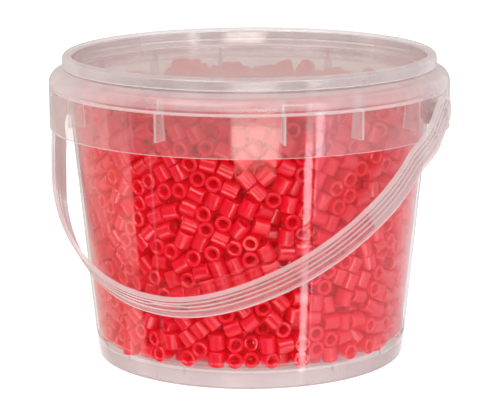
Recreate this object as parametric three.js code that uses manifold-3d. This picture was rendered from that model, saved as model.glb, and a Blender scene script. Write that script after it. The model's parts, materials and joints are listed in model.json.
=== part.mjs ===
// A clear polypropylene tub with a recessed lid and a ribbed strap bail, filled with short tubular beads.
// Millimetres, +Z up. The origin is the middle of the foot. The bail turns about X and hangs towards -Y.
import * as THREE from "three";
import { mergeVertices } from "three/addons/utils/BufferGeometryUtils.js";
import Module from "manifold-3d";

const wasm = await Module();
wasm.setup();

const DEGREE = Math.PI / 180;
const AROUND = 60; // facets round the tub and the lid
const GAP = 0.3; // between pieces that touch on the real tub

// Tub wall: a cone, named by its outer radius at z = 0 and by how much it widens per millimetre of height.
const WALL = 0.9;
const WALL_RADIUS = 48.8;
const WALL_DRAFT = 0.098;
const FLOOR_UNDER = 5.0;
const FLOOR_TOP = 6.2;
const FOOT_INNER = 46.2;
const FOOT_OUTER = 47.6;

// Skirt: the band that hangs outside the wall from the shoulder.
const SKIRT_RADIUS = 63;
const SKIRT = 1.0;
const SKIRT_BOTTOM = 73.4;
const SHELF = 86; // above this height the skirt is thick, as far as the groove beside the wall
const GROOVE_OUTER = 60;
const GROOVE_TOP = 90;
const SHOULDER_START = 87.4;

// Collar of the tub, and the lid that sits over it.
const COLLAR_OUTER = 57.7;
const COLLAR_INNER = 56.7;
const COLLAR_BASE = 92.0;
const COLLAR_TOP = 95.0;
const LID_RADIUS = 58.8;
const LID_TOP = 96.4;
const LID_SKIN = 0.8;
const LID_EDGE = 92.6; // bottom of the lid's rim
const PANEL_TOP = 90.8;
const PANEL_UNDER = 89.8;

// Webs between wall and skirt, in degrees from each pivot, and ticks below the floor.
const WEB_ANGLES = [8, 31, 54, 90, 126, 149, 172];
const WEB_THICKNESS = 0.8;
const WEB_BOTTOM = 77.1;
const TICKS = 12;

// Bail: a flat strap bent to half a superellipse, with an eye, a stud and a head at each end.
const PIVOT_HEIGHT = 81.5;
const BAIL_HALF_SPAN = 64.6;
const BAIL_DEPTH = 78;
const BAIL_ROUNDNESS = 1.93;
const BAIL_HANG = 42.8 * DEGREE; // below the horizontal, where the strap rests on the wall
const STRAP_WIDTH = 9;
const STRAP_THICKNESS = 1.4;
const STRAP_SHIFT = -3.2; // the strap's middle lies this far below the line through the studs
const STRAP_WEB = 1.0; // thickness between the ribs
const RIB_WIDTH = 0.8;
const RIB_PLACES = [0.18, 0.39, 0.6]; // down the strap's width, from its top edge
const FLANGE_WIDTH = 0.5;
const LIP_WIDTH = 0.7;
const GATE_CLEAR = 0.085; // half angle, in radians, left free of the middle rib about the moulding gate
const EYE_RADIUS = 5.2;
const EYE_REACH = 9;
const STUD_RADIUS = 2.4;
const STUD_HOLE = 2.8;
const STUD_RECESS = 1.7;
const HEAD_RADIUS = 4;
const HEAD_OUTER = 61.5;
const HEAD_INNER = 60.3;
const BOSS_RADIUS = 5.4;
const BOSS_FACE = 63.5;

// Beads: short tubes. The heap is one closed solid, and some loose beads lie on it.
const BEAD_RADIUS = 2.5;
const BEAD_BORE = 1.4;
const BEAD_LENGTH = 5;
const HEAP_TOP = 81.5;
const LOOSE_BEADS = 24;
const LOOSE_INNER = 26;
const LOOSE_OUTER = 50;
const GOLDEN_ANGLE = 137.508 * DEGREE;

const clearPlastic = (name) =>
  new THREE.MeshStandardMaterial({
    name,
    color: 0xd8ccc6,
    roughness: 0.18,
    metalness: 0,
    transparent: true,
    opacity: 0.35,
  });
const tubPlastic = clearPlastic("tub_clear");
const lidPlastic = clearPlastic("lid_clear");
const handlePlastic = clearPlastic("handle_clear");
const beadPlastic = new THREE.MeshStandardMaterial({
  name: "bead_red",
  color: 0xe0182c,
  roughness: 0.35,
  metalness: 0,
});

// A closed geometry as a manifold-3d solid, and a solid back as a geometry.
function solid(geometry) {
  const bare = geometry.clone();
  bare.deleteAttribute("normal");
  bare.deleteAttribute("uv");
  const merged = mergeVertices(bare, 1e-4);
  return new wasm.Manifold(
    new wasm.Mesh({
      numProp: 3,
      vertProperties: new Float32Array(merged.attributes.position.array),
      triVerts: new Uint32Array(merged.index.array),
    }),
  );
}

function geometryOf(body) {
  const { vertProperties, triVerts } = body.getMesh();
  const geometry = new THREE.BufferGeometry();
  geometry.setAttribute("position", new THREE.BufferAttribute(vertProperties, 3));
  geometry.setIndex(new THREE.BufferAttribute(triVerts, 1));
  geometry.computeVertexNormals();
  return geometry;
}

function named(name, geometry, material) {
  const mesh = new THREE.Mesh(geometry, material);
  mesh.name = name;
  return mesh;
}

// Points of a quarter-like arc in a profile, from one angle to another, both ends included.
function arc(centreR, centreZ, radius, from, to, steps) {
  const points = [];
  for (let i = 0; i <= steps; i += 1) {
    const angle = (from + ((to - from) * i) / steps) * DEGREE;
    points.push([centreR + radius * Math.cos(angle), centreZ + radius * Math.sin(angle)]);
  }
  return points;
}

// A body of revolution about Z from [radius, z] points, listed anticlockwise with the axis on the left.
function turned(profile, segments = AROUND) {
  const points = profile.map(([r, z]) => new THREE.Vector2(r, z));
  return new THREE.LatheGeometry(points, segments).rotateX(Math.PI / 2);
}

// A flat plate from an outline of [x, y] points, its thickness centred on z = 0.
function plate(outline, thickness) {
  const shape = new THREE.Shape(outline.map(([x, y]) => new THREE.Vector2(x, y)));
  const geometry = new THREE.ExtrudeGeometry(shape, { depth: thickness, bevelEnabled: false });
  return geometry.translate(0, 0, -thickness / 2);
}

// A cylinder along X between two places, at the height of the pivots or in the bail's own frame.
function cylinderAlongX(radius, from, to, height = 0) {
  const length = Math.abs(to - from);
  const geometry = new THREE.CylinderGeometry(radius, radius, length, 32).rotateZ(Math.PI / 2);
  return geometry.translate((from + to) / 2, 0, height);
}

const wallOuter = (z) => WALL_RADIUS + WALL_DRAFT * z;
const wallInner = (z) => wallOuter(z) - WALL;

function tubProfile() {
  const skirtInner = SKIRT_RADIUS - SKIRT;
  return [
    [0, FLOOR_UNDER],
    [FOOT_INNER - 1.2, FLOOR_UNDER],
    [FOOT_INNER - 0.4, FLOOR_UNDER - 0.6],
    [FOOT_INNER - 0.2, 0.4],
    [FOOT_INNER, 0],
    ...arc(FOOT_OUTER, 1.6, 1.6, -90, -6, 4),
    [wallOuter(FLOOR_UNDER), FLOOR_UNDER],
    [wallOuter(GROOVE_TOP - 2), GROOVE_TOP - 2],
    [wallOuter(GROOVE_TOP) + 0.3, GROOVE_TOP],
    [GROOVE_OUTER - 0.6, GROOVE_TOP],
    [GROOVE_OUTER, GROOVE_TOP - 0.8],
    [GROOVE_OUTER, SHELF],
    [skirtInner - 0.2, SHELF],
    [skirtInner, SHELF - 0.4],
    [skirtInner, SKIRT_BOTTOM + 0.2],
    [skirtInner + 0.2, SKIRT_BOTTOM],
    [SKIRT_RADIUS - 0.2, SKIRT_BOTTOM],
    [SKIRT_RADIUS, SKIRT_BOTTOM + 0.2],
    ...arc(SKIRT_RADIUS - 4, SHOULDER_START, 4, 0, 50, 5),
    [COLLAR_OUTER + 1.2, COLLAR_BASE],
    [COLLAR_OUTER, COLLAR_BASE + 0.2],
    [COLLAR_OUTER, COLLAR_TOP - 0.3],
    [COLLAR_OUTER - 0.3, COLLAR_TOP],
    [COLLAR_INNER + 0.3, COLLAR_TOP],
    [COLLAR_INNER, COLLAR_TOP - 0.3],
    [COLLAR_INNER, PANEL_UNDER - 1.2],
    [wallInner(GROOVE_TOP - 3), GROOVE_TOP - 4],
    ...arc(wallInner(FLOOR_TOP + 2) - 2, FLOOR_TOP + 2, 2, 0, -90, 4),
    [0, FLOOR_TOP],
  ];
}

// One web, as an outline of [radius, z] that ends inside the wall, the skirt and the shoulder.
function webOutline() {
  const bite = 0.4;
  return [
    [wallOuter(WEB_BOTTOM) - bite, WEB_BOTTOM],
    [SKIRT_RADIUS - SKIRT + bite, WEB_BOTTOM],
    [SKIRT_RADIUS - SKIRT + bite, SHELF + bite],
    [GROOVE_OUTER + bite, SHELF + bite],
    [GROOVE_OUTER + bite, GROOVE_TOP + bite],
    [wallOuter(GROOVE_TOP) - bite, GROOVE_TOP + bite],
  ];
}

// A radial plate turned to its angle about Z, in degrees.
function radial(outline, thickness, angle) {
  return plate(outline, thickness).rotateX(Math.PI / 2).rotateZ(angle * DEGREE);
}

function tub() {
  let body = solid(turned(tubProfile()));
  for (const angle of WEB_ANGLES) {
    body = body.add(solid(radial(webOutline(), WEB_THICKNESS, angle)));
    body = body.add(solid(radial(webOutline(), WEB_THICKNESS, -angle)));
  }
  const tick = [
    [FOOT_INNER - 0.9, 2.8],
    [FOOT_INNER + 0.4, 2.8],
    [FOOT_INNER + 0.4, FLOOR_UNDER + 0.4],
    [FOOT_INNER - 0.9, FLOOR_UNDER + 0.4],
  ];
  for (let i = 0; i < TICKS; i += 1) {
    body = body.add(solid(radial(tick, 0.6, (i * 360) / TICKS + 90)));
  }
  for (const side of [-1, 1]) {
    const skirtMiddle = side * (SKIRT_RADIUS - SKIRT / 2);
    const boss = cylinderAlongX(BOSS_RADIUS, skirtMiddle, side * BOSS_FACE, PIVOT_HEIGHT);
    const hole = cylinderAlongX(STUD_HOLE, side * GROOVE_OUTER, side * (BOSS_FACE + 1), PIVOT_HEIGHT);
    body = body.add(solid(boss)).subtract(solid(hole));
  }
  return named("tub", geometryOf(body), tubPlastic);
}

function lid() {
  const plugOuter = COLLAR_INNER - GAP;
  const rimInner = LID_RADIUS - LID_SKIN;
  const crown = (rimInner + plugOuter) / 2;
  const crownRadius = (LID_RADIUS - plugOuter + LID_SKIN) / 2;
  const profile = [
    [0, PANEL_UNDER],
    [plugOuter - 0.8, PANEL_UNDER],
    [plugOuter, PANEL_UNDER + 0.8],
    [plugOuter, COLLAR_TOP + GAP],
    [rimInner, COLLAR_TOP + GAP],
    [rimInner, LID_EDGE],
    [LID_RADIUS, LID_EDGE],
    ...arc(crown, LID_TOP - crownRadius, crownRadius, 0, 180, 8),
    [plugOuter - LID_SKIN - 0.1, PANEL_TOP + 0.6],
    [plugOuter - LID_SKIN - 0.7, PANEL_TOP],
    [0, PANEL_TOP],
  ];
  return named("lid", turned(profile), lidPlastic);
}

// One point of the bail's half superellipse, its size grown by an offset. At 0 and PI it is on the studs' line.
function bailPoint(angle, offset) {
  const power = 2 / BAIL_ROUNDNESS;
  const across = Math.sign(Math.cos(angle)) * Math.abs(Math.cos(angle)) ** power;
  const down = Math.max(Math.sin(angle), 0) ** power;
  return [(BAIL_HALF_SPAN + offset) * across, -(BAIL_DEPTH + offset) * down];
}

// The angle at which the bail leaves the eye.
const EYE_ANGLE = Math.asin(((EYE_REACH - 1) / BAIL_DEPTH) ** (BAIL_ROUNDNESS / 2));

// A band that follows the bail, between two offsets and two places across the strap's width.
function band(inner, outer, low, high, from = EYE_ANGLE, to = Math.PI - EYE_ANGLE) {
  const steps = Math.round((to - from) / (3.5 * DEGREE));
  const outline = [];
  for (let i = 0; i <= steps; i += 1) outline.push(bailPoint(from + ((to - from) * i) / steps, outer));
  for (let i = steps; i >= 0; i -= 1) outline.push(bailPoint(from + ((to - from) * i) / steps, inner));
  return plate(outline, high - low).translate(0, 0, (low + high) / 2);
}

// The outline of the eye: a round end that widens to the strap's section, as [down the strap, across it].
function eyeOutline() {
  const low = STRAP_SHIFT - STRAP_WIDTH / 2;
  const high = STRAP_SHIFT + STRAP_WIDTH / 2;
  const round = arc(0, 0, EYE_RADIUS, 60, 265, 20);
  return [...round, [EYE_REACH, low], [EYE_REACH, high]];
}

function handle() {
  const top = STRAP_SHIFT + STRAP_WIDTH / 2;
  const bottom = STRAP_SHIFT - STRAP_WIDTH / 2;
  const inner = -STRAP_THICKNESS / 2;
  const outer = STRAP_THICKNESS / 2;
  let body = solid(band(inner, inner + STRAP_WEB, bottom, top));
  const raise = (low, high, from, to) => {
    body = body.add(solid(band(inner + STRAP_WEB / 2, outer, low, high, from, to)));
  };
  raise(top - FLANGE_WIDTH, top);
  raise(bottom, bottom + LIP_WIDTH);
  for (const place of RIB_PLACES) {
    const middle = top - place * STRAP_WIDTH;
    const low = middle - RIB_WIDTH / 2;
    const high = middle + RIB_WIDTH / 2;
    if (place === RIB_PLACES[1]) {
      raise(low, high, EYE_ANGLE, Math.PI / 2 - GATE_CLEAR);
      raise(low, high, Math.PI / 2 + GATE_CLEAR, Math.PI - EYE_ANGLE);
    } else {
      raise(low, high);
    }
  }
  // The eye's plate is drawn as [down, across] and turned so that down is -Y, across is Z, thickness X.
  const turn = new THREE.Matrix4().makeBasis(
    new THREE.Vector3(0, -1, 0),
    new THREE.Vector3(0, 0, 1),
    new THREE.Vector3(-1, 0, 0),
  );
  for (const side of [-1, 1]) {
    const face = side * (BAIL_HALF_SPAN + outer);
    const eye = plate(eyeOutline(), STRAP_THICKNESS).applyMatrix4(turn).translate(side * BAIL_HALF_SPAN, 0, 0);
    const stud = cylinderAlongX(STUD_RADIUS, side * (HEAD_INNER + 0.2), side * BAIL_HALF_SPAN);
    const head = cylinderAlongX(HEAD_RADIUS, side * HEAD_INNER, side * HEAD_OUTER);
    const recess = cylinderAlongX(STUD_RECESS, side * (HEAD_OUTER + 0.4), face + side);
    body = body.add(solid(eye)).add(solid(stud)).add(solid(head)).subtract(solid(recess));
  }
  const mesh = named("handle", geometryOf(body), handlePlastic);
  mesh.position.z = PIVOT_HEIGHT;
  mesh.rotation.x = BAIL_HANG;
  return mesh;
}

function beadHeap() {
  const low = FLOOR_TOP + GAP;
  const chamfer = 3;
  const profile = [
    [0, low],
    [wallInner(low) - chamfer, low],
    [wallInner(low + chamfer) - GAP, low + chamfer],
    [wallInner(HEAP_TOP - chamfer) - GAP, HEAP_TOP - chamfer],
    [wallInner(HEAP_TOP) - chamfer, HEAP_TOP],
    [0, HEAP_TOP],
  ];
  return named("bead_fill", turned(profile), beadPlastic);
}

// Loose beads on the heap, set out on a sunflower spiral. Every third one stands on end.
function looseBeads() {
  const tube = turned(
    [
      [BEAD_BORE, -BEAD_LENGTH / 2],
      [BEAD_RADIUS, -BEAD_LENGTH / 2],
      [BEAD_RADIUS, BEAD_LENGTH / 2],
      [BEAD_BORE, BEAD_LENGTH / 2],
      [BEAD_BORE, -BEAD_LENGTH / 2],
    ],
    12,
  );
  const beads = [];
  for (let i = 0; i < LOOSE_BEADS; i += 1) {
    const share = i / (LOOSE_BEADS - 1);
    const distance = Math.sqrt(LOOSE_INNER ** 2 + share * (LOOSE_OUTER ** 2 - LOOSE_INNER ** 2));
    const bearing = i * GOLDEN_ANGLE;
    const bead = named(`loose_bead_${String(i + 1).padStart(2, "0")}`, tube, beadPlastic);
    bead.position.set(
      distance * Math.cos(bearing),
      distance * Math.sin(bearing),
      HEAP_TOP + GAP + BEAD_RADIUS,
    );
    if (i % 3 !== 0) bead.rotation.set(Math.PI / 2, 0, i * GOLDEN_ANGLE * 2, "ZYX");
    beads.push(bead);
  }
  return beads;
}

const bucket = new THREE.Group();
bucket.add(tub(), lid(), handle(), beadHeap(), ...looseBeads());

export default bucket;
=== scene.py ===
"""Looks for a clear lidded tub of red tubular beads: camera, studio, plastics and a settled heap."""
import json
import math
import random

import bmesh
import bpy
import numpy as np
from mathutils import Euler, Matrix, Vector

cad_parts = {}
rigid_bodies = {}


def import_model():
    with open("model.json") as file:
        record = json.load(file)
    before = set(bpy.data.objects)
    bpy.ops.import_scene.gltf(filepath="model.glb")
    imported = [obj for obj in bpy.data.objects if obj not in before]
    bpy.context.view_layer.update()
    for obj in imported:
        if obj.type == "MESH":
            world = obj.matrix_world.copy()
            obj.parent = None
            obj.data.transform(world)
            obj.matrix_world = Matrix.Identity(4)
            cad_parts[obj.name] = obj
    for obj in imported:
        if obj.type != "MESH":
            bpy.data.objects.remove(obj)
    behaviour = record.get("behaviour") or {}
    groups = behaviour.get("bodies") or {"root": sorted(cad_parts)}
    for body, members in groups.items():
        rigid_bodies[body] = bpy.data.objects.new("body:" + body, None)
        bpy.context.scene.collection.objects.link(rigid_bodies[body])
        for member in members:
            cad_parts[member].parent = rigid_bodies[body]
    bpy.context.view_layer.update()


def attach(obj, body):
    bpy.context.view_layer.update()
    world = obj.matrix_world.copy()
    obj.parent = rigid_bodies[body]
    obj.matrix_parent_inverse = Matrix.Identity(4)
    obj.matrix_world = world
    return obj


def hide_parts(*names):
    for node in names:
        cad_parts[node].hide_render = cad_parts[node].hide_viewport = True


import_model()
MM = 0.001
scene = bpy.context.scene

# ---------------------------------------------------------------- dimensions, in millimetres, as in the CAD
WALL = 0.9
WALL_RADIUS = 48.8
WALL_DRAFT = 0.098
FLOOR_UNDER = 5.0
FLOOR_TOP = 6.2
FOOT_INNER = 46.2
FOOT_OUTER = 47.6
SKIRT_RADIUS = 63.0
SKIRT = 1.0
SKIRT_BOTTOM = 73.4
SHELF = 86.0
GROOVE_OUTER = 60.0
GROOVE_TOP = 90.0
SHOULDER_START = 87.4
COLLAR_OUTER = 57.7
COLLAR_INNER = 56.7
COLLAR_BASE = 92.0
COLLAR_TOP = 95.0
LID_RADIUS = 58.8
LID_TOP = 96.4
LID_SKIN = 0.8
LID_EDGE = 92.6
PANEL_TOP = 90.8
PANEL_UNDER = 89.8
GAP = 0.3
WEB_ANGLES = (8, 31, 54, 90, 126, 149, 172)
WEB_THICKNESS = 0.8
WEB_BOTTOM = 77.1
TICKS = 12
PIVOT_HEIGHT = 81.5
BAIL_HALF_SPAN = 64.6
BAIL_DEPTH = 78.0
BAIL_ROUNDNESS = 1.93
BAIL_HANG = math.radians(42.8)
STRAP_WIDTH = 9.0
STRAP_THICKNESS = 1.4
STRAP_SHIFT = -3.2
STRAP_WEB = 1.0
RIB_WIDTH = 0.8
RIB_PLACES = (0.18, 0.39, 0.60)
FLANGE_WIDTH = 0.5
LIP_WIDTH = 0.7
GATE_CLEAR = 0.085
EYE_REACH = 9.0
STUD_RADIUS = 2.4
STUD_HOLE = 2.8
STUD_RECESS = 1.7
HEAD_RADIUS = 4.0
HEAD_OUTER = 61.5
HEAD_INNER = 60.3
BOSS_RADIUS = 5.4
BOSS_FACE = 63.5
BEAD_RADIUS = 2.5
BEAD_BORE = 1.4
BEAD_LENGTH = 5.0
AROUND = 144


def wall_outer(z):
    return WALL_RADIUS + WALL_DRAFT * z


def wall_inner(z):
    return wall_outer(z) - WALL


# ---------------------------------------------------------------- mesh helpers
def new_object(name, vertices, faces):
    """A mesh object from points in millimetres."""
    mesh = bpy.data.meshes.new(name)
    mesh.from_pydata([(x * MM, y * MM, z * MM) for x, y, z in vertices], [], faces)
    mesh.update()
    made = bpy.data.objects.new(name, mesh)
    scene.collection.objects.link(made)
    return made


def rounded(corners, steps=3):
    """A closed profile, each (r, z, radius) corner turned into a small curve. A radius of 0 stays sharp."""
    points = []
    count = len(corners)
    for i, (r, z, radius) in enumerate(corners):
        here = Vector((r, z))
        if radius == 0:
            points.append((r, z))
            continue
        before = Vector(corners[i - 1][:2])
        after = Vector(corners[(i + 1) % count][:2])
        reach = min(radius, (before - here).length * 0.45, (after - here).length * 0.45)
        start = here + (before - here).normalized() * reach
        end = here + (after - here).normalized() * reach
        for k in range(steps + 1):
            t = k / steps
            point = start * (1 - t) ** 2 + here * 2 * t * (1 - t) + end * t**2
            points.append((point.x, point.y))
    return points


def lathe(name, profile, segments=AROUND):
    """A body of revolution about Z from (r, z) points, anticlockwise with the axis on the left."""
    vertices = []
    rings = []
    for r, z in profile:
        if r < 1e-6:
            rings.append([len(vertices)] * segments)
            vertices.append((0, 0, z))
            continue
        rings.append(list(range(len(vertices), len(vertices) + segments)))
        for i in range(segments):
            angle = math.tau * i / segments
            vertices.append((r * math.cos(angle), r * math.sin(angle), z))
    faces = []
    closed = profile[0][0] > 1e-6
    pairs = len(rings) if closed else len(rings) - 1
    for k in range(pairs):
        low, high = rings[k], rings[(k + 1) % len(rings)]
        for i in range(segments):
            j = (i + 1) % segments
            corners = [low[i], low[j], high[j], high[i]]
            corners = [c for n, c in enumerate(corners) if c not in corners[:n]]
            if len(corners) > 2:
                faces.append(corners)
    return new_object(name, vertices, faces)


def prism(name, outline, thickness, place):
    """A flat plate from (x, y) points, its thickness centred on z = 0, moved by a matrix in millimetres."""
    count = len(outline)
    flat = [Vector((x, y, z)) for z in (-thickness / 2, thickness / 2) for x, y in outline]
    faces = [list(range(count))[::-1], list(range(count, 2 * count))]
    for i in range(count):
        j = (i + 1) % count
        faces.append([i, j, count + j, count + i])
    return new_object(name, [place @ v for v in flat], faces)


def rod(name, radius, start, end, centre=(0, 0), segments=48):
    """A cylinder along X."""
    vertices = []
    for x in (start, end):
        for i in range(segments):
            angle = math.tau * i / segments
            vertices.append((x, centre[0] + radius * math.cos(angle), centre[1] + radius * math.sin(angle)))
    faces = [list(range(segments))[::-1], list(range(segments, 2 * segments))]
    for i in range(segments):
        j = (i + 1) % segments
        faces.append([i, j, segments + j, segments + i])
    if end < start:
        faces = [face[::-1] for face in faces]
    return new_object(name, vertices, faces)


def combine(base, others, operation):
    """Boolean of base with other objects, which are then deleted."""
    group = bpy.data.collections.new("operands")
    for other in others:
        group.objects.link(other)
    modifier = base.modifiers.new("combine", "BOOLEAN")
    modifier.operand_type = "COLLECTION"
    modifier.collection = group
    modifier.operation = operation
    modifier.solver = "EXACT"
    evaluated = base.evaluated_get(bpy.context.evaluated_depsgraph_get())
    result = bpy.data.meshes.new_from_object(evaluated)
    base.modifiers.clear()
    base.data = result
    for other in others:
        bpy.data.objects.remove(other)
    bpy.data.collections.remove(group)


def join(base, others):
    """Adds other meshes to base, face for face."""
    mesh = bmesh.new()
    for item in (base, *others):
        mesh.from_mesh(item.data)
    mesh.to_mesh(base.data)
    mesh.free()
    for other in others:
        bpy.data.objects.remove(other)


def smooth(piece, degrees=32):
    piece.data.shade_smooth()
    piece.data.set_sharp_from_angle(angle=math.radians(degrees))


def arc(centre_r, centre_z, radius, start, end, steps):
    points = []
    for i in range(steps + 1):
        angle = math.radians(start + (end - start) * i / steps)
        points.append((centre_r + radius * math.cos(angle), centre_z + radius * math.sin(angle), 0))
    return points


# ---------------------------------------------------------------- camera and studio
CAMERA_DISTANCE = 704.2
CAMERA_HEIGHT = 194.4
CAMERA_TURN = math.radians(26.5)
CAMERA_PITCH = math.radians(90 - 11.96)
CAMERA_ROLL = math.radians(-0.2536)
camera = bpy.data.objects.new("camera", bpy.data.cameras.new("camera"))
camera.data.lens = 162.5
camera.data.sensor_width = 36
camera.matrix_world = (
    Matrix.Translation(
        Vector((math.sin(CAMERA_TURN), -math.cos(CAMERA_TURN), 0)) * CAMERA_DISTANCE * MM
        + Vector((0, 0, CAMERA_HEIGHT * MM))
    )
    @ Matrix.Rotation(CAMERA_TURN, 4, "Z")
    @ Matrix.Rotation(CAMERA_PITCH, 4, "X")
    @ Matrix.Rotation(CAMERA_ROLL, 4, "Z")
)
scene.collection.objects.link(camera)
scene.camera = camera
scene.view_settings.view_transform = "Standard"
scene.cycles.transparent_max_bounces = 32
scene.cycles.max_bounces = 16
scene.cycles.diffuse_bounces = 10


class Nodes:
    """Short calls to build a node tree."""

    def __init__(self, tree):
        self.tree = tree
        tree.nodes.clear()

    def add(self, kind, inputs=None, **settings):
        node = self.tree.nodes.new(kind)
        for key, value in settings.items():
            setattr(node, key, value)
        for key, value in (inputs or {}).items():
            if isinstance(value, bpy.types.NodeSocket):
                self.tree.links.new(value, node.inputs[key])
            else:
                node.inputs[key].default_value = value
        return node

    def math(self, operation, a, b=0.0):
        return self.add("ShaderNodeMath", {0: a, 1: b}, operation=operation).outputs[0]

    def mix(self, share, first, second):
        return self.add("ShaderNodeMixShader", {0: share, 1: first, 2: second}).outputs[0]

    def noise(self, scale, detail=2.0, vector=None):
        inputs = {"Scale": scale, "Detail": detail}
        if vector is not None:
            inputs["Vector"] = vector
        return self.add("ShaderNodeTexNoise", inputs).outputs["Fac"]

    def position(self, scale=(1, 1, 1)):
        coordinates = self.add("ShaderNodeTexCoord").outputs["Object"]
        return self.add("ShaderNodeMapping", {"Vector": coordinates, "Scale": scale}).outputs[0]

    def ramp(self, factor, low, high, out_low, out_high):
        inputs = {"Value": factor, "From Min": low, "From Max": high, "To Min": out_low, "To Max": out_high}
        return self.add("ShaderNodeMapRange", inputs).outputs[0]


def material(name):
    made = bpy.data.materials.new(name)
    made.use_nodes = True
    return made, Nodes(made.node_tree)


SKY_FRONT = 1.05  # the sky's strength on the camera's side
SKY_BEHIND = 0.4  # and beyond the tub
world = bpy.data.worlds.new("studio")
scene.world = world
world.use_nodes = True
sky = Nodes(world.node_tree)
direction = sky.add("ShaderNodeTexCoord").outputs["Generated"]
height = sky.add("ShaderNodeSeparateXYZ", {"Vector": direction}).outputs["Z"]
fade = sky.add("ShaderNodeValToRGB", {"Fac": height})
fade.color_ramp.elements[0].position = 0.1
fade.color_ramp.elements[0].color = (0.55, 0.48, 0.45, 1)
fade.color_ramp.elements[1].position = 0.75
fade.color_ramp.elements[1].color = (0.88, 0.82, 0.80, 1)
away = (-math.sin(CAMERA_TURN), math.cos(CAMERA_TURN), 0)
behind = sky.add("ShaderNodeVectorMath", {0: direction, 1: away}, operation="DOT_PRODUCT").outputs["Value"]
strength = sky.ramp(behind, -1, 1, SKY_FRONT, SKY_BEHIND)
background = sky.add("ShaderNodeBackground", {"Color": fade.outputs["Color"], "Strength": strength})
sky.add("ShaderNodeOutputWorld", {"Surface": background.outputs[0]})


TUB_MIDDLE = Vector((0, 0, 50))


def area_light(name, place, size, power, colour=(1, 1, 1)):
    """A square lamp that faces the middle of the tub."""
    data = bpy.data.lights.new(name, "AREA")
    data.shape = "RECTANGLE"
    data.size = size * MM
    data.size_y = size * MM
    data.energy = power
    data.color = colour
    lamp = bpy.data.objects.new(name, data)
    lamp.location = Vector(place) * MM
    lamp.rotation_euler = (TUB_MIDDLE - Vector(place)).to_track_quat("-Z", "Y").to_euler()
    lamp.visible_camera = False
    scene.collection.objects.link(lamp)


def around(degrees, distance, height):
    """A place at an angle to the right of the camera's direction from the tub, in millimetres."""
    angle = CAMERA_TURN + math.radians(degrees)
    return (math.sin(angle) * distance, -math.cos(angle) * distance, height)


area_light("key", around(-35, 900, 900), 800, 7.4)
area_light("fill", around(30, 1000, 650), 500, 4.3, (0.95, 0.97, 1.0))

FLOOR_RADIUS = 4000
floor = lathe("floor", [(0, -1), (FLOOR_RADIUS, -1), (FLOOR_RADIUS, -0.05), (0, -0.05)], 64)
floor_material, n = material("floor")
paper = n.add("ShaderNodeBsdfDiffuse", {"Color": (0.55, 0.55, 0.55, 1)}).outputs[0]
glow = n.add("ShaderNodeEmission", {"Color": (1, 1, 1, 1), "Strength": 0.8}).outputs[0]
both = n.add("ShaderNodeAddShader", {0: paper, 1: glow}).outputs[0]
n.add("ShaderNodeOutputMaterial", {"Surface": both})
floor.data.materials.append(floor_material)

# A room round the tub, which only reflections see. In front it is dark: a gloss table and a wall with lit
# openings. Angles are in degrees to the right of the camera's direction from the tub.
ROOM_LEFT = -85
ROOM_RIGHT = 112
BACK_START = 150
BACK_END = 225
SHADE_START = 52
ROOM_NEAR = 57.0
ROOM_FAR = 950.0
ROOM_HEIGHT = 620.0
TABLE_HEIGHT = 0.4


def sector(name, start, end, rim, made_of):
    """A sheet swept round the tub between two angles; rim lists its (radius, height) points."""
    vertices, faces = [], []
    steps = max(2, round((end - start) / 3))
    count = len(rim)
    for i in range(steps + 1):
        angle = start + (end - start) * i / steps
        vertices += [around(angle, radius, z) for radius, z in rim]
    for i in range(steps):
        for k in range(count - 1):
            a = count * i + k
            faces.append((a, a + 1, a + count + 1, a + count))
    made = new_object(name, vertices, faces)
    made.visible_camera = False
    made.visible_diffuse = False
    made.visible_shadow = False
    made.visible_transmission = False
    made.data.materials.append(made_of)


dark_wall, n = material("dark_wall")
black = n.add("ShaderNodeBsdfDiffuse", {"Color": (0.01, 0.01, 0.012, 1)}).outputs[0]
n.add("ShaderNodeOutputMaterial", {"Surface": black})
dark_table, n = material("dark_table")
mirror = n.add("ShaderNodeBsdfGlossy", {"Color": (0.85, 0.85, 0.85, 1), "Roughness": 0.0}).outputs[0]
n.add("ShaderNodeOutputMaterial", {"Surface": mirror})


def lit(name, colour, strength):
    made, n = material(name)
    light = n.add("ShaderNodeEmission", {"Color": colour, "Strength": strength}).outputs[0]
    n.add("ShaderNodeOutputMaterial", {"Surface": light})
    return made


def sheet(low, high, forward=0):
    """The rim of an upright sheet by the far wall, between two heights."""
    return [(ROOM_FAR - forward, low), (ROOM_FAR - forward, high)]


table_rim = [(ROOM_NEAR, TABLE_HEIGHT), (ROOM_FAR, TABLE_HEIGHT)]
sector("room_table", ROOM_LEFT, ROOM_RIGHT, table_rim, dark_table)
sector("room_wall", ROOM_LEFT, ROOM_RIGHT, sheet(0, ROOM_HEIGHT), dark_wall)
window_light = lit("window_light", (1.0, 0.93, 0.86, 1), 5.0)
stripe_light = lit("stripe_light", (0.96, 0.93, 1.0, 1), 6.0)
left_room = lit("left_room", (0.80, 0.66, 0.60, 1), 1.0)
left_glow = lit("left_glow", (1.0, 0.84, 0.79, 1), 1.6)
stripe_dim = lit("stripe_dim", (0.88, 0.84, 1.0, 1), 1.1)
back_room = lit("back_room", (0.62, 0.54, 0.51, 1), 1.0)
right_room = lit("right_room", (1.0, 0.96, 0.99, 1), 0.85)
right_shade = lit("right_shade", (0.74, 0.70, 0.76, 1), 1.15)
all_round = [*table_rim, (ROOM_FAR, ROOM_HEIGHT)]
sector("room_right", ROOM_RIGHT, BACK_START, all_round, right_room)
sector("room_back", BACK_START, BACK_END, all_round, back_room)
sector("room_left", BACK_END, 360 + ROOM_LEFT, all_round, left_room)
sector("room_shade", SHADE_START, ROOM_RIGHT, sheet(0, ROOM_HEIGHT, 10), right_shade)
opening = sheet(10, ROOM_HEIGHT, 20)
sector("window", -10, 17, sheet(90, 300, 20), window_light)
sector("stripe_wide", 36.2, 41.2, opening, stripe_light)
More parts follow.
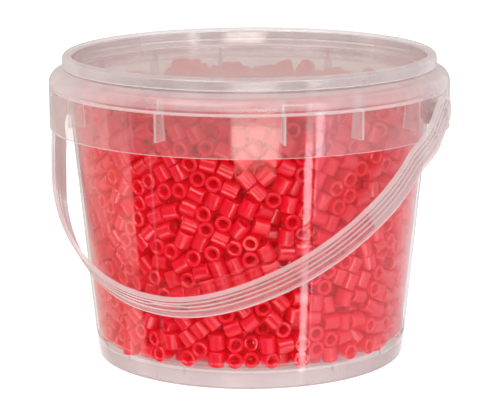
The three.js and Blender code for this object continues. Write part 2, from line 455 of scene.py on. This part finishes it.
sector("stripe_thin", 43.6, 44.2, opening, stripe_light)
sector("stripe_dim", 44.6, SHADE_START, opening, stripe_dim)
sector("left_glow", -103, ROOM_LEFT, opening, left_glow)
sector("left_line", -69, -67.5, opening, stripe_dim)


# ---------------------------------------------------------------- plastics
HEAD_ON_REFLECTION = 0.04


def clear_plastic(name, haze, tint, milk, roughness=0.03, grain=0.03):
    """Clear, faintly milky plastic for closed walls: a surface passes, scatters and reflects some light."""
    made, n = material(name)
    facing = n.add("ShaderNodeLayerWeight", {"Blend": 0.5}).outputs["Facing"]
    grazing = n.math("POWER", facing, 5.0)
    reflect = n.math("MULTIPLY_ADD", grazing, 1 - HEAD_ON_REFLECTION)
    reflect.node.inputs[2].default_value = HEAD_ON_REFLECTION
    steepness = n.math("SUBTRACT", 1.06, facing)
    streaks = n.ramp(n.noise(90, 3, n.position((1, 1, 0.12))), 0.3, 0.7, haze * 0.75, haze * 1.25)
    path = n.math("DIVIDE", streaks, steepness)
    scatter = n.math("SUBTRACT", 1.0, n.math("EXPONENT", n.math("MULTIPLY", path, -1.0)))
    bump = n.add("ShaderNodeBump", {"Height": n.noise(420, 2), "Strength": grain, "Distance": 0.0002})
    normal = bump.outputs[0]
    clear = n.add("ShaderNodeBsdfTransparent", {"Color": tint}).outputs[0]
    front = n.add("ShaderNodeBsdfDiffuse", {"Color": milk}).outputs[0]
    through = n.add("ShaderNodeBsdfTranslucent", {"Color": milk}).outputs[0]
    cloudy = n.mix(0.5, front, through)
    mirror = n.add("ShaderNodeBsdfGlossy", {"Color": (1, 1, 1, 1), "Roughness": roughness, "Normal": normal})
    body = n.mix(scatter, clear, cloudy)
    surface = n.mix(reflect, body, mirror.outputs[0])
    n.add("ShaderNodeOutputMaterial", {"Surface": surface})
    return made


MILK = (0.66, 0.56, 0.54, 1)
TINT = (0.985, 0.970, 0.965, 1)
DEEP_TINT = (0.95, 0.945, 0.94, 1)
wall_clear = clear_plastic("wall_clear", 0.005, TINT, MILK, 0.015, 0.02)
skirt_clear = clear_plastic("skirt_clear", 0.078, DEEP_TINT, (0.80, 0.72, 0.72, 1), 0.07)
web_clear = clear_plastic("web_clear", 0.22, TINT, (0.86, 0.77, 0.77, 1), 0.10)
foot_clear = clear_plastic("foot_clear", 0.42, DEEP_TINT, (0.49, 0.43, 0.425, 1), 0.06)
thick_clear = clear_plastic("thick_clear", 0.36, DEEP_TINT, (0.84, 0.805, 0.81, 1), 0.20)
# Near-white, very milky plastic on edges and web ends: painted highlight lines standing in for the bright
# lines that thick clear edges show.
painted_edge_highlight = clear_plastic("painted_edge_highlight", 0.9, TINT, (0.97, 0.95, 0.96, 1), 0.15)
lid_clear = clear_plastic("lid_clear", 0.27, DEEP_TINT, (0.87, 0.84, 0.85, 1), 0.20)
# Darker, dimmer plastic on the inner wall of the lid's recess: painted shade in the recess.
plug_painted_shade = clear_plastic("plug_painted_shade", 0.20, (0.91, 0.87, 0.86, 1), (0.64, 0.565, 0.545, 1), 0.06)
panel_clear = clear_plastic("panel_clear", 0.045, TINT, (0.60, 0.50, 0.48, 1), 0.05)
strap_clear = clear_plastic("strap_clear", 0.14, (0.93, 0.88, 0.88, 1), (0.64, 0.54, 0.55, 1), 0.25)
strap_milky = clear_plastic("strap_milky", 0.50, (0.88, 0.83, 0.82, 1), (0.73, 0.675, 0.68, 1), 0.25)
# Brighter, milkier plastic on the rib crests, the strap's edges and the eye's outer face: painted highlight
# lines on real ribs.
painted_rib_highlight = clear_plastic("painted_rib_highlight", 0.62, TINT, (0.84, 0.78, 0.785, 1), 0.20)
eye_clear = clear_plastic("eye_clear", 0.90, DEEP_TINT, (0.76, 0.71, 0.71, 1), 0.25)


def bead_plastic():
    made, n = material("bead_red")
    tone = n.add("ShaderNodeAttribute", attribute_name="tone", attribute_type="GEOMETRY").outputs["Fac"]
    cloud = n.math("MULTIPLY", n.noise(260, 2, n.position()), 0.3)
    blotch = n.math("ADD", cloud, n.math("MULTIPLY", tone, 0.7))
    ramp = n.add("ShaderNodeValToRGB", {"Fac": blotch})
    ramp.color_ramp.elements[0].position = 0.1
    ramp.color_ramp.elements[0].color = (0.93, 0.004, 0.040, 1)
    ramp.color_ramp.elements[1].position = 0.9
    ramp.color_ramp.elements[1].color = (0.985, 0.009, 0.060, 1)
    grain = n.noise(900, 3, n.position())
    bump = n.add("ShaderNodeBump", {"Height": grain, "Strength": 0.12, "Distance": 0.0002})
    inputs = {
        "Base Color": ramp.outputs["Color"],
        "Roughness": 0.17,
        "Subsurface Weight": 1.0,
        "Subsurface Radius": (1.0, 0.05, 0.07),
        "Subsurface Scale": 0.0035,
        "Normal": bump.outputs[0],
        "Specular IOR Level": 0.9,
        "Coat Weight": 0.55,
        "Coat Roughness": 0.1,
        # The faint red emission is painted glow: it stands in for light passing through the translucent beads
        # and lifts the shade between them.
        "Emission Color": (1.0, 0.012, 0.03, 1),
        "Emission Strength": 0.046,
    }
    shader = n.add("ShaderNodeBsdfPrincipled", inputs)
    glow = n.add("ShaderNodeBsdfTranslucent", {"Color": (1.0, 0.008, 0.045, 1)}).outputs[0]
    n.add("ShaderNodeOutputMaterial", {"Surface": n.mix(0.35, shader.outputs[0], glow)})
    return made


bead_red = bead_plastic()


def paint(piece, plastics, choose):
    """Gives each face the plastic that choose(radius, z, normal) picks for its centre, in millimetres."""
    for plastic in plastics:
        piece.data.materials.append(plastic)
    for face in piece.data.polygons:
        x, y, z = face.center / MM
        face.material_index = plastics.index(choose(math.hypot(x, y), z, face.normal))


# ---------------------------------------------------------------- tub
def tub_profile():
    inner = SKIRT_RADIUS - SKIRT
    corners = [
        (0, FLOOR_UNDER, 0),
        (FOOT_INNER - 0.5, FLOOR_UNDER, 0.7),
        (FOOT_INNER - 0.1, 0, 0.3),
        (FOOT_OUTER + 1.1, 0, 1.5),
        (wall_outer(FLOOR_UNDER), FLOOR_UNDER, 1.0),
        (wall_outer(GROOVE_TOP), GROOVE_TOP, 1.2),
        (GROOVE_OUTER, GROOVE_TOP, 0.8),
        (GROOVE_OUTER, SHELF, 0.25),
        (inner, SHELF, 0.4),
        (inner, SKIRT_BOTTOM, 0.25),
        (SKIRT_RADIUS, SKIRT_BOTTOM, 0.25),
        *arc(SKIRT_RADIUS - 4, SHOULDER_START, 4, 0, 50, 8),
        (COLLAR_OUTER + 0.5, COLLAR_BASE, 0.7),
        (COLLAR_OUTER, COLLAR_BASE + 0.4, 0.2),
        (COLLAR_OUTER, COLLAR_TOP, 0.3),
        (COLLAR_INNER, COLLAR_TOP, 0.3),
        (COLLAR_INNER, PANEL_UNDER - 1.2, 0.8),
        (wall_inner(GROOVE_TOP - 4), GROOVE_TOP - 4, 1.0),
        *arc(wall_inner(FLOOR_TOP + 2) - 2, FLOOR_TOP + 2, 2, 0, -90, 6),
        (0, FLOOR_TOP, 0),
    ]
    return rounded(corners)


def web_outline():
    clear = 0.02
    return [
        (wall_outer(WEB_BOTTOM) + clear, WEB_BOTTOM),
        (SKIRT_RADIUS - SKIRT - clear, WEB_BOTTOM),
        (SKIRT_RADIUS - SKIRT - clear, SHELF - clear),
        (GROOVE_OUTER - clear, SHELF - clear),
        (GROOVE_OUTER - clear, GROOVE_TOP - clear),
        (wall_outer(GROOVE_TOP) + clear, GROOVE_TOP - clear),
    ]


def radial(name, outline, thickness, angle):
    place = Matrix.Rotation(math.radians(angle), 4, "Z") @ Matrix.Rotation(math.pi / 2, 4, "X")
    return prism(name, outline, thickness, place)


TUB_PLASTICS = (wall_clear, skirt_clear, painted_edge_highlight, thick_clear, foot_clear, web_clear)
TICK_UNDER = 2.8
TICK_THICKNESS = 0.6


def make_tub():
    tub = lathe("tub_shell", tub_profile())
    extras, webs = [], []
    for angle in WEB_ANGLES:
        for side in (-1, 1):
            webs.append(radial("web", web_outline(), WEB_THICKNESS, side * angle))
    inner, outer, top = FOOT_INNER - 0.9, FOOT_INNER + 0.4, FLOOR_UNDER + 0.4
    tick = [(inner, TICK_UNDER), (outer, TICK_UNDER), (outer, top), (inner, top)]
    for i in range(TICKS):
        extras.append(radial("tick", tick, TICK_THICKNESS, 360 * i / TICKS + 90))
    holes = []
    for side in (-1, 1):
        middle = side * (SKIRT_RADIUS - SKIRT / 2)
        extras.append(rod("boss", BOSS_RADIUS, middle, side * BOSS_FACE, (0, PIVOT_HEIGHT)))
        holes.append(rod("hole", STUD_HOLE, side * GROOVE_OUTER, side * (BOSS_FACE + 1), (0, PIVOT_HEIGHT)))
    combine(tub, extras, "UNION")
    combine(tub, holes, "DIFFERENCE")

    def choose(radius, z, normal):
        # The skirt's lower face and the shelf's edge get painted highlight lines.
        if z < SKIRT_BOTTOM + 0.3 and radius > SKIRT_RADIUS - 2 and normal.z < -0.9:
            return painted_edge_highlight
        if abs(z - SHELF) < 0.3 and GROOVE_OUTER - 0.3 < radius < SKIRT_RADIUS - 0.5:
            return painted_edge_highlight
        if SHELF < z < COLLAR_BASE - 0.4 and radius > GROOVE_OUTER - 0.6:
            return thick_clear
        if z > SKIRT_BOTTOM - 1 and radius > wall_outer(z) + 0.3:
            return skirt_clear
        if z < FLOOR_UNDER + 0.5:
            return foot_clear
        return skirt_clear if z > SHELF else wall_clear

    paint(tub, TUB_PLASTICS, choose)
    for web in webs:
        x, y, _ = web.data.vertices[0].co
        outwards = Vector((x, y, 0)).normalized()

        def choose_web(radius, z, normal):
            # A web's ends and edges get painted highlight lines.
            on_side = abs(normal.z) < 0.5 and abs(normal.dot(outwards)) < 0.5
            return web_clear if on_side else painted_edge_highlight

        paint(web, TUB_PLASTICS, choose_web)
    join(tub, webs)
    smooth(tub)
    return tub


tub = make_tub()
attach(tub, "tub")
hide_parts("tub")


# ---------------------------------------------------------------- lid
def make_lid():
    plug = COLLAR_INNER - GAP
    rim = LID_RADIUS - LID_SKIN
    crown = (rim + plug) / 2
    crown_radius = (LID_RADIUS - plug + LID_SKIN) / 2
    corners = [
        (0, PANEL_UNDER, 0),
        (plug, PANEL_UNDER, 0.9),
        (plug, COLLAR_TOP + GAP, 0.2),
        (rim, COLLAR_TOP + GAP, 0.3),
        (rim, LID_EDGE, 0.2),
        (LID_RADIUS, LID_EDGE, 0.3),
        *arc(crown, LID_TOP - crown_radius, crown_radius, 0, 180, 12),
        (plug - LID_SKIN - 0.1, PANEL_TOP, 0.9),
        (0, PANEL_TOP, 0),
    ]
    lid = lathe("lid_shell", rounded(corners))

    def choose(radius, z, normal):
        # The lid's lower edge gets painted highlight lines.
        if z < LID_EDGE + 0.3 and radius > COLLAR_OUTER:
            return painted_edge_highlight
        # The recess wall gets painted shade.
        if PANEL_TOP + 0.1 < z < LID_TOP - 0.6 and radius < plug - LID_SKIN + 0.1:
            return plug_painted_shade
        if z < PANEL_TOP + 0.1 and radius < COLLAR_INNER - 2:
            return panel_clear
        return lid_clear

    paint(lid, (lid_clear, painted_edge_highlight, panel_clear, plug_painted_shade), choose)
    smooth(lid)
    return lid


lid = make_lid()
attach(lid, "lid")
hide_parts("lid")


# ---------------------------------------------------------------- bail
def bail_point(angle, offset):
    """A point of the bail's half superellipse, grown by an offset, in its own frame: X across, -Y down."""
    power = 2 / BAIL_ROUNDNESS
    across = math.copysign(abs(math.cos(angle)) ** power, math.cos(angle))
    down = max(math.sin(angle), 0) ** power
    return (BAIL_HALF_SPAN + offset) * across, -(BAIL_DEPTH + offset) * down


EYE_ANGLE = math.asin(((EYE_REACH - 1) / BAIL_DEPTH) ** (BAIL_ROUNDNESS / 2))
EYE_SHIFT = 0.35
EYE_WIDTH = 9.6
EYE_RIM = 0.7
EYE_STAND_OFF = 1.1
FLAT_REACH = 20.0  # the strap lies flat against the skirt up to here
SHIFT_REACH = 34.0  # and it has found its own course from here
LEAN_RIGHT = 1.45  # how far each half of the strap is pulled across, at most
LEAN_LEFT = -1.4
SPREAD = 0.7  # how much wider the strap is beside its lowest part
SLOPE = 0.12  # of the ribs' sides
GATE_FADE = 0.02
MILKY_REACH = 40.0  # the strap is clearer beyond this distance down it
BAIL_PLASTICS = (strap_clear, painted_rib_highlight, eye_clear, strap_milky)


def ease(share):
    share = min(max(share, 0), 1)
    return share * share * (3 - 2 * share)


def strap_course(x, down):
    """The soft strap's course: its middle, its width, and how fully it lies in the plane of the eye."""
    lean = ease(abs(x) / BAIL_HALF_SPAN / 0.5)
    flat = ease((FLAT_REACH - down) / (FLAT_REACH - EYE_REACH))
    near = ease((SHIFT_REACH - down) / (SHIFT_REACH - EYE_REACH))
    middle = STRAP_SHIFT + (LEAN_RIGHT if x > 0 else LEAN_LEFT) * lean
    width = STRAP_WIDTH + SPREAD * lean
    return middle + (EYE_SHIFT - middle) * near, width + (EYE_WIDTH - width) * near, flat


def raised_bands(middle, width):
    """The strap's raised bands, from its lower edge up, as (low, high) across the strap."""
    top, bottom = middle + width / 2, middle - width / 2
    bands = [(bottom, bottom + LIP_WIDTH)]
    for place in reversed(RIB_PLACES):
        centre = top - place * width
        bands.append((centre - RIB_WIDTH / 2, centre + RIB_WIDTH / 2))
    bands.append((top - FLANGE_WIDTH, top))
    return bands


def strap_section(middle, width, middle_rib):
    """The strap's cross-section, its ribs outwards: (offset from the bail line, place across the strap)."""
    web = STRAP_WEB - STRAP_THICKNESS / 2
    crest = STRAP_THICKNESS / 2
    bands = raised_bands(middle, width)
    section = [(-crest, middle + width / 2), (-crest, middle - width / 2)]
    for number, (low, high) in enumerate(bands):
        height = web + (crest - web) * (middle_rib if number == 2 else 1)
        if number > 0:
            section.append((web, low - SLOPE))
        section += [(height, low), (height, high)]
        if number < len(bands) - 1:
            section.append((web, high + SLOPE))
    return section


def strap_sweep(name, steps=150):
    rings = []
    vertices = []
    for i in range(steps + 1):
        angle = EYE_ANGLE + (math.pi - 2 * EYE_ANGLE) * i / steps
        rib = min(max((abs(angle - math.pi / 2) - GATE_CLEAR) / GATE_FADE, 0), 1)
        along, down = bail_point(angle, 0)
        middle, width, flat_share = strap_course(along, -down)
        ring = []
        for offset, across in strap_section(middle, width, rib):
            x, y = bail_point(angle, offset)
            flat = math.copysign(BAIL_HALF_SPAN + EYE_STAND_OFF + offset, x)
            ring.append(len(vertices))
            vertices.append((x + (flat - x) * flat_share, y, across))
        rings.append(ring)
    faces = [rings[0][::-1], rings[-1]]
    count = len(rings[0])
    for low, high in zip(rings, rings[1:]):
        for i in range(count):
            j = (i + 1) % count
            faces.append([low[i], low[j], high[j], high[i]])
    made = new_object(name, vertices, faces)
    profile = strap_section(0, STRAP_WIDTH, 1)
    crest = STRAP_THICKNESS / 2
    for number, face in enumerate(list(made.data.polygons)[2:]):
        side = number % count
        on_crest = profile[side][0] == crest and profile[(side + 1) % count][0] == crest
        # Rib crests and the strap's two edges get painted highlight lines.
        if on_crest or side in (1, count - 1):
            plastic = painted_rib_highlight
        else:
            plastic = strap_milky if -face.center.y / MM < MILKY_REACH else strap_clear
        face.material_index = BAIL_PLASTICS.index(plastic)
    return made


def eye_outline():
    half = EYE_WIDTH / 2
    round_end = [(r, z) for r, z, _ in arc(0, EYE_SHIFT, half, 90, 270, 32)]
    return round_end + [(EYE_REACH, EYE_SHIFT - half), (EYE_REACH, EYE_SHIFT + half)]


def eye_grooves():
    """The hollows between the ribs of the eye, as outlines of (down the strap, across it)."""
    bands = raised_bands(EYE_SHIFT, EYE_WIDTH)
    grooves = []
    for (_, low), (high, _) in zip(bands, bands[1:]):
        farthest = max(abs(low - EYE_SHIFT), abs(high - EYE_SHIFT))
        end = -math.sqrt(max((EYE_WIDTH / 2 - EYE_RIM) ** 2 - farthest**2, 0))
        low, high = low + SLOPE, high - SLOPE
        grooves.append([(end, low), (EYE_REACH + 1, low), (EYE_REACH + 1, high), (end, high)])
    return grooves


def make_bail():
    bail = strap_sweep("bail_strap")
    extras, holes = [], []
    crest = STRAP_THICKNESS / 2
    depth = STRAP_THICKNESS - STRAP_WEB
    for side in (-1, 1):
        plate_x = side * (BAIL_HALF_SPAN + EYE_STAND_OFF)
        turn = Matrix(((0, 0, -1, plate_x), (-1, 0, 0, 0), (0, 1, 0, 0), (0, 0, 0, 1)))
        eye = prism("eye", eye_outline(), STRAP_THICKNESS, turn)
        for face in eye.data.polygons:
            # The eye's outer face gets the painted rib highlight; its grooves are cut later.
            plastic = painted_rib_highlight if face.normal.x * side > 0.9 else eye_clear
            face.material_index = BAIL_PLASTICS.index(plastic)
        extras.append(eye)
        extras.append(rod("stud", STUD_RADIUS, side * (HEAD_INNER + 0.2), plate_x))
        extras.append(rod("head", HEAD_RADIUS, side * HEAD_INNER, side * HEAD_OUTER))
        face_x = plate_x + side * crest
        for groove in eye_grooves():
            place = Matrix.Translation((side * crest, 0, 0)) @ turn
            holes.append(prism("groove", groove, 2 * depth, place))
        holes.append(rod("recess", STUD_RECESS, side * (HEAD_OUTER + 0.4), face_x + side))
    for item in (bail, *extras, *holes):
        for plastic in BAIL_PLASTICS:
            item.data.materials.append(plastic)
    for item in (*extras[1:3], *extras[4:], *holes):
        for face in item.data.polygons:
            face.material_index = BAIL_PLASTICS.index(eye_clear)
    combine(bail, extras, "UNION")
    combine(bail, holes, "DIFFERENCE")
    bail.data.transform(Matrix.Rotation(BAIL_HANG, 4, "X"))
    bail.data.transform(Matrix.Translation((0, 0, PIVOT_HEIGHT * MM)))
    smooth(bail, 25)
    return bail


bail = make_bail()
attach(bail, "handle")
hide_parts("handle")


# ---------------------------------------------------------------- beads
def bead_shape(segments):
    """The points and faces of one bead about Z, in millimetres, with softened ends."""
    half = BEAD_LENGTH / 2
    soft = 0.28
    profile = [
        (BEAD_BORE, -half + soft),
        (BEAD_BORE + soft, -half),
        (BEAD_RADIUS - soft, -half),
        (BEAD_RADIUS, -half + soft),
        (BEAD_RADIUS, half - soft),
        (BEAD_RADIUS - soft, half),
        (BEAD_BORE + soft, half),
        (BEAD_BORE, half - soft),
    ]
    rings = len(profile)
    points = []
    for i in range(segments):
        angle = math.tau * i / segments
        points += [(r * math.cos(angle), r * math.sin(angle), z) for r, z in profile]
    faces = []
    for i in range(segments):
        j = (i + 1) % segments
        for k in range(rings):
            m = (k + 1) % rings
            faces.append((i * rings + k, j * rings + k, j * rings + m, i * rings + m))
    return np.array(points), np.array(faces)


def bead_cluster(name, matrices, rng, segments=16):
    """One mesh of many beads, each at a 4 by 4 matrix in millimetres, with its own tone."""
    points, faces = bead_shape(segments)
    all_points, all_faces, tones = [], [], []
    for number, matrix in enumerate(matrices):
        placed = points @ matrix[:3, :3].T + matrix[:3, 3]
        all_points.append(placed * MM)
        all_faces.append(faces + number * len(points))
        tones.append(np.full(len(points), rng.random()))
    mesh = bpy.data.meshes.new(name)
    mesh.from_pydata(np.concatenate(all_points), [], np.concatenate(all_faces).tolist())
    tone = mesh.attributes.new("tone", "FLOAT", "POINT")
    tone.data.foreach_set("value", np.concatenate(tones).astype(np.float32))
    mesh.update()
    made = bpy.data.objects.new(name, mesh)
    scene.collection.objects.link(made)
    made.data.materials.append(bead_red)
    smooth(made, 40)
    return made


LOOSE_BEADS = 24
LOOSE_INNER = 26.0
LOOSE_OUTER = 50.0
LOOSE_HEIGHT = 81.5 + GAP + BEAD_RADIUS
GOLDEN_ANGLE = math.radians(137.508)


def loose_poses():
    """Where the CAD puts the loose beads: a sunflower spiral, every third bead on end."""
    poses = []
    for i in range(LOOSE_BEADS):
        share = i / (LOOSE_BEADS - 1)
        distance = math.sqrt(LOOSE_INNER**2 + share * (LOOSE_OUTER**2 - LOOSE_INNER**2))
        bearing = i * GOLDEN_ANGLE
        place = Matrix.Translation((distance * math.cos(bearing), distance * math.sin(bearing), LOOSE_HEIGHT))
        if i % 3:
            place = place @ Matrix.Rotation(2 * bearing, 4, "Z") @ Matrix.Rotation(math.pi / 2, 4, "X")
        poses.append(place)
    return poses


CORE_LOW_RADIUS = 34.0
CORE_HIGH_RADIUS = 40.0
CORE_TOP = 72.0
BEAD_COUNT = 2400
BEAD_CLEAR = 3.8  # from a bead's middle to anything else while it is poured
POUR_STEP = 7.2
POUR_GAP = 27  # left between two layers while the pour passes the fixed beads
GAP_START = 72
GAP_END = 96
POUR_INSIDE = 22.0  # the last beads are poured outside this radius, so that the heap lies level
LAST_START = 110
SIM_SCALE = 0.1  # simulation units in a millimetre
SIM_FRAMES = 46
SIM_TOP = 300
SIM_WALL = 12


def core_radius(z):
    return CORE_LOW_RADIUS + (CORE_HIGH_RADIUS - CORE_LOW_RADIUS) * min(z / CORE_TOP, 1)


def scaled(piece):
    """The piece in simulation units."""
    piece.data.transform(Matrix.Scale(SIM_SCALE / MM, 4))
    return piece


def solid(piece, kind, shape):
    """Makes a piece take part in the simulation."""
    bpy.context.view_layer.objects.active = piece
    bpy.ops.rigidbody.object_add(type=kind)
    body = piece.rigid_body
    body.collision_shape = shape
    body.friction = 0.38
    body.restitution = 0
    body.use_margin = True
    body.collision_margin = 0
    return body


def add_vessel():
    """The wall, the floor and the core that the beads fall between."""
    low, high = wall_inner(0), wall_inner(SIM_TOP)
    wall = [(low, 0), (low + SIM_WALL, 0), (high + SIM_WALL, SIM_TOP), (high, SIM_TOP)]
    solid(scaled(lathe("sim_wall", wall, 64)), "PASSIVE", "MESH")
    base = [(0, -8), (60, -8), (60, FLOOR_TOP), (0, FLOOR_TOP)]
    solid(scaled(lathe("sim_floor", base, 32)), "PASSIVE", "CONVEX_HULL")
    core = [(0, 1), (CORE_LOW_RADIUS, 1), (CORE_HIGH_RADIUS, CORE_TOP - 3), (CORE_HIGH_RADIUS - 8, CORE_TOP)]
    core.append((0, CORE_TOP + 1))
    solid(scaled(lathe("sim_core", core, 48)), "PASSIVE", "CONVEX_HULL")


def pour_places(rng):
    """Where the beads start: shuffled layers of a grid, one above the other."""
    places = []
    z = FLOOR_TOP + BEAD_CLEAR
    while len(places) < BEAD_COUNT:
        reach = wall_inner(z) - BEAD_CLEAR
        inside = core_radius(z) + BEAD_CLEAR if z < CORE_TOP + BEAD_CLEAR else 0
        if z > LAST_START:
            inside = POUR_INSIDE
        layer = []
        count = int(reach // POUR_STEP) + 1
        for ix in range(-count, count + 1):
            for iy in range(-count, count + 1):
                x = ix * POUR_STEP + rng.uniform(-0.05, 0.05)
                y = iy * POUR_STEP + rng.uniform(-0.05, 0.05)
                if inside < math.hypot(x, y) < reach:
                    layer.append((x, y, z))
        rng.shuffle(layer)
        places += layer
        z += POUR_STEP if z < GAP_START or z > GAP_END else POUR_GAP
    return places[:BEAD_COUNT]


def settle_beads():
    """Drops beads between wall and core, round the fixed loose beads, and returns where they come to rest."""
    rng = random.Random(11)
    before = set(bpy.data.objects)
    bpy.ops.rigidbody.world_add()
    rigid = scene.rigidbody_world
    rigid.collection = bpy.data.collections.new("simulated")
    rigid.substeps_per_frame = 8
    rigid.solver_iterations = 8
    rigid.point_cache.frame_end = SIM_FRAMES
    scene.gravity = (0, 0, -30)
    add_vessel()
    points, faces = bead_shape(12)
    for place in loose_poses():
        fixed = scaled(new_object("sim_fixed", points, faces.tolist()))
        place.translation *= SIM_SCALE
        fixed.matrix_world = place
        solid(fixed, "PASSIVE", "CYLINDER")
    first = scaled(new_object("sim_bead", points, faces.tolist()))
    body = solid(first, "ACTIVE", "CYLINDER")
    body.linear_damping = 0.1
    body.angular_damping = 0.3
    beads = []
    for place in pour_places(rng):
        bead = first.copy()
        bead.location = Vector(place) * SIM_SCALE
        bead.rotation_euler = [rng.uniform(0, math.tau) for _ in range(3)]
        scene.collection.objects.link(bead)
        if bead.name not in rigid.collection.objects:
            rigid.collection.objects.link(bead)
        beads.append(bead)
    bpy.data.objects.remove(first)
    for step in range(1, SIM_FRAMES + 1):
        scene.frame_set(step)
    graph = bpy.context.evaluated_depsgraph_get()
    rest = []
    for bead in beads:
        matrix = np.array(bead.evaluated_get(graph).matrix_world)
        matrix[:3, 3] /= SIM_SCALE
        rest.append(matrix)
    for extra in set(bpy.data.objects) - before:
        bpy.data.objects.remove(extra)
    bpy.ops.rigidbody.world_remove()
    scene.frame_set(1)
    return rest


LATTICE_STEP = 7.1


def lattice_beads(high, radius, rng):
    """Rows of beads up to a height, each bead turned at random."""
    poses = []
    z = FLOOR_TOP + 4
    while z < high:
        count = int(radius // LATTICE_STEP) + 1
        for ix in range(-count, count + 1):
            for iy in range(-count, count + 1):
                x, y = ix * LATTICE_STEP, iy * LATTICE_STEP
                if math.hypot(x, y) < radius:
                    turn = Euler([rng.uniform(0, math.tau) for _ in range(3)]).to_matrix().to_4x4()
                    poses.append(np.array(Matrix.Translation((x, y, z)) @ turn))
        z += LATTICE_STEP
    return poses


# The hidden middle of the heap lies on a lattice.
rng = random.Random(5)
core_beads = lattice_beads(CORE_TOP - 3, CORE_LOW_RADIUS - 3.6, rng)
settled = settle_beads()
kept = []
for matrix in settled:
    reach = abs(matrix[2, 2]) * BEAD_LENGTH / 2 + math.sqrt(max(0, 1 - matrix[2, 2] ** 2)) * BEAD_RADIUS
    if matrix[2, 3] + reach < PANEL_UNDER - 0.4:
        kept.append(matrix)
kept += core_beads
PER_PIECE = 700
for number, start in enumerate(range(0, len(kept), PER_PIECE)):
    cluster = bead_cluster(f"beads_{number + 1:02d}", kept[start : start + PER_PIECE], rng)
    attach(cluster, "tub")
    if number == 0:
        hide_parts("bead_fill")
for number, place in enumerate(loose_poses()):
    name = f"loose_bead_{number + 1:02d}"
    single = bead_cluster(name + "_detail", [np.array(place)], rng, 24)
    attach(single, "tub")
    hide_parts(name)
